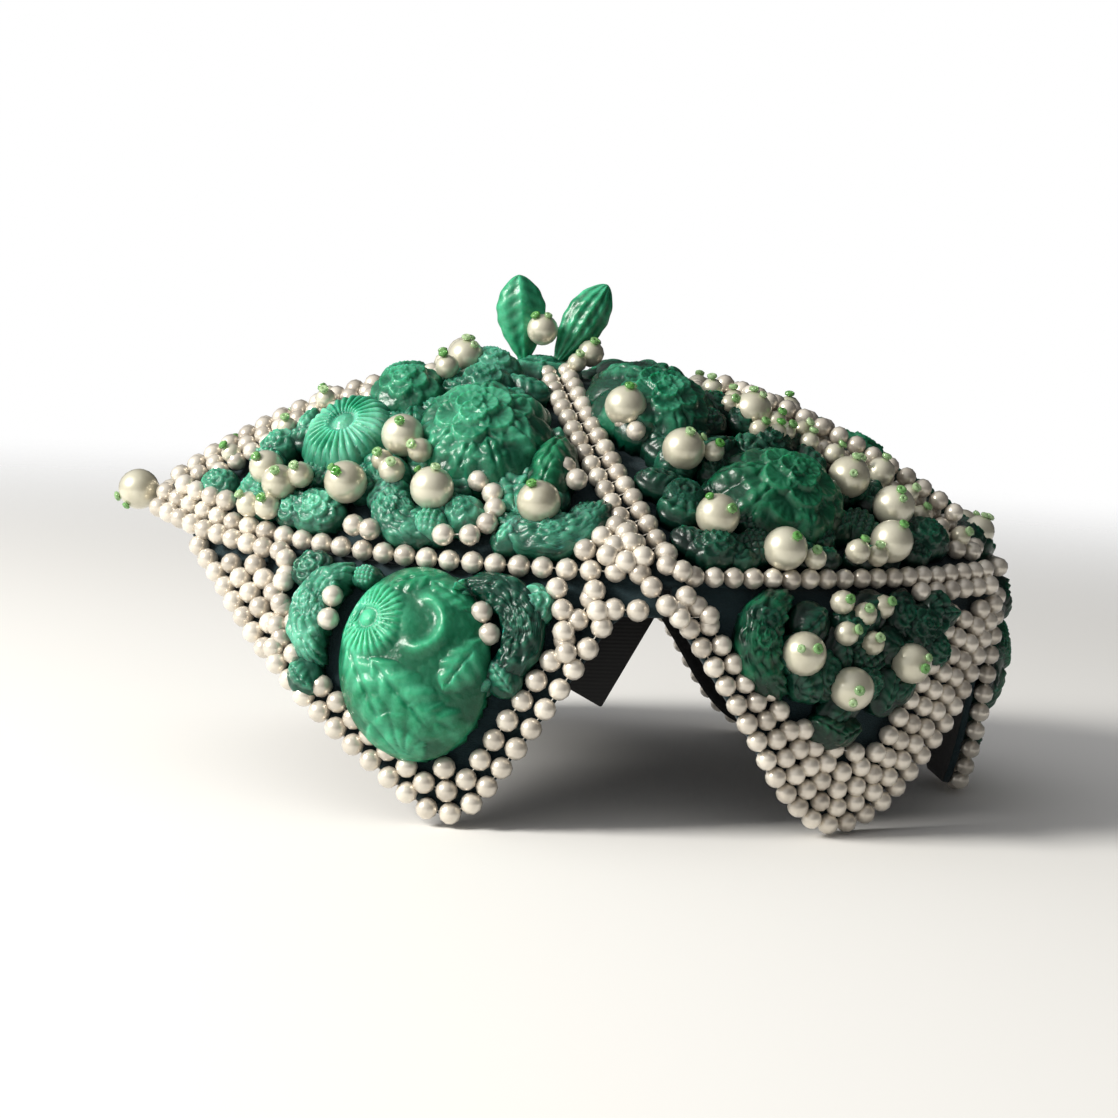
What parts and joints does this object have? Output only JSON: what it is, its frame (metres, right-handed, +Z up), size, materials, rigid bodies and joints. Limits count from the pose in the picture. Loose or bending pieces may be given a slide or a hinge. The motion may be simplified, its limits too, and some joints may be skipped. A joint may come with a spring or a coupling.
{
  "type": "cocktail hat",
  "caption": "Pointed beaded cocktail hat: a felt crown with hanging petals, edged in small pearls and set with carved green stones, with upright carved leaves on top.",
  "frame": {"origin": "middle of the hat's footprint at the level of the petal tips that it stands on", "axes": "+Z up, -Y the front of the hat, +X the wearer's left"},
  "size_m": [0.1416, 0.2108, 0.1156],
  "materials": {
    "cloth": "matt dark teal felt over stiff millinery cloth",
    "pearl": "pearlescent imitation pearl",
    "green_stone": "polished translucent jade green",
    "carved_field": "small carved green flowers with large cream pearls among them",
    "ribbon": "black ribbon over a comb"
  },
  "bodies": {
    "root": {"back_oval_stone": "green_stone", "back_petal_stone": "green_stone", "bud_stone_left": "green_stone", "bud_stone_right": "green_stone", "crown": "cloth", "fold_pearls_back": "pearl", "fold_pearls_front_left": "pearl", "fold_pearls_front_right": "pearl", "fold_pearls_side_left": "pearl", "fold_pearls_side_right": "pearl", "front_pearl": "pearl", "leaf_back": "green_stone", "leaf_front": "green_stone", "lower_oval_stone_left": "green_stone", "lower_oval_stone_right": "green_stone", "pearl_border_back": "pearl", "pearl_border_front_left": "pearl", "pearl_border_front_right": "pearl", "pearl_border_side_left": "pearl", "pearl_border_side_right": "pearl", "petal_back": "cloth", "petal_flower_stone_left": "green_stone", "petal_flower_stone_right": "green_stone", "petal_front_left": "cloth", "petal_front_right": "cloth", "petal_leaf_stone_left": "green_stone", "petal_leaf_stone_right": "green_stone", "petal_oval_stone_left": "green_stone", "petal_oval_stone_right": "green_stone", "petal_side_left": "cloth", "petal_side_right": "cloth", "ribbon_tab_left": "ribbon", "ribbon_tab_right": "ribbon", "ridge_pearls_back_left": "pearl", "ridge_pearls_back_right": "pearl", "ridge_pearls_front": "pearl", "ridge_pearls_side_left": "pearl", "ridge_pearls_side_right": "pearl", "rose_stone_left": "green_stone", "rose_stone_right": "green_stone", "round_stone_left": "green_stone", "round_stone_right": "green_stone", "stone_field_crown_back": "carved_field", "stone_field_crown_front_left": "carved_field", "stone_field_crown_front_right": "carved_field", "stone_field_crown_side_left": "carved_field", "stone_field_crown_side_right": "carved_field", "stone_field_petal_back": "carved_field", "stone_field_petal_front_left": "carved_field", "stone_field_petal_front_right": "carved_field", "stone_field_petal_side_left": "carved_field", "stone_field_petal_side_right": "carved_field", "top_rosette": "pearl", "top_stone_left": "green_stone", "top_stone_right": "green_stone", "upper_oval_stone_left": "green_stone", "upper_oval_stone_right": "green_stone"}
  },
  "joints": []
}
